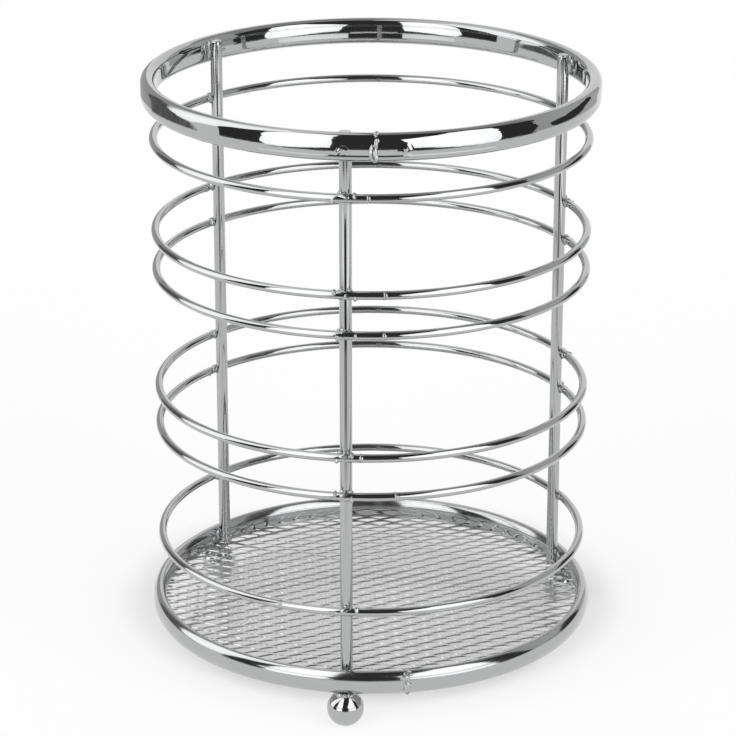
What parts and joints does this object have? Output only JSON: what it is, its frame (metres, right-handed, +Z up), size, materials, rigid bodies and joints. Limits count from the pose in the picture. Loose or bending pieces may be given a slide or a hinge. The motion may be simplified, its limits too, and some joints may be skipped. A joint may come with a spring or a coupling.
{
  "type": "cutlery holder",
  "caption": "Round open cutlery holder of chromed steel wire: posts carry thin hoops between a flat-oval rim and base ring, with an expanded metal floor and ball feet.",
  "frame": {"origin": "on the holder's upright axis, at the level that the ball feet stand on", "axes": "+Z up along the holder's axis, -Y towards the front, where the rim's and hoops' seams are"},
  "size_m": [0.1136, 0.1154, 0.1518],
  "materials": {
    "chrome_bar": "polished",
    "chrome_wire": "polished",
    "chrome_mesh": "bright, slightly dulled",
    "chrome_ball": "polished",
    "chrome_weld": "plated weld metal"
  },
  "bodies": {
    "root": {"top_rim": "chrome_bar", "base_ring": "chrome_bar", "mesh_floor": "chrome_mesh", "hoop_1": "chrome_wire", "hoop_2": "chrome_wire", "hoop_3": "chrome_wire", "hoop_4": "chrome_wire", "hoop_5": "chrome_wire", "hoop_6": "chrome_wire", "post_front": "chrome_wire", "post_right": "chrome_wire", "post_left": "chrome_wire", "foot_front": "chrome_ball", "foot_right": "chrome_ball", "foot_left": "chrome_ball", "rim_seam_weld": "chrome_weld", "base_ring_seam_weld": "chrome_weld", "hoop_seam_welds": "chrome_weld", "post_to_hoop_welds": "chrome_weld", "post_to_rim_welds": "chrome_weld", "post_to_base_welds": "chrome_weld", "foot_welds": "chrome_weld", "mesh_spot_welds": "chrome_weld"}
  },
  "joints": []
}
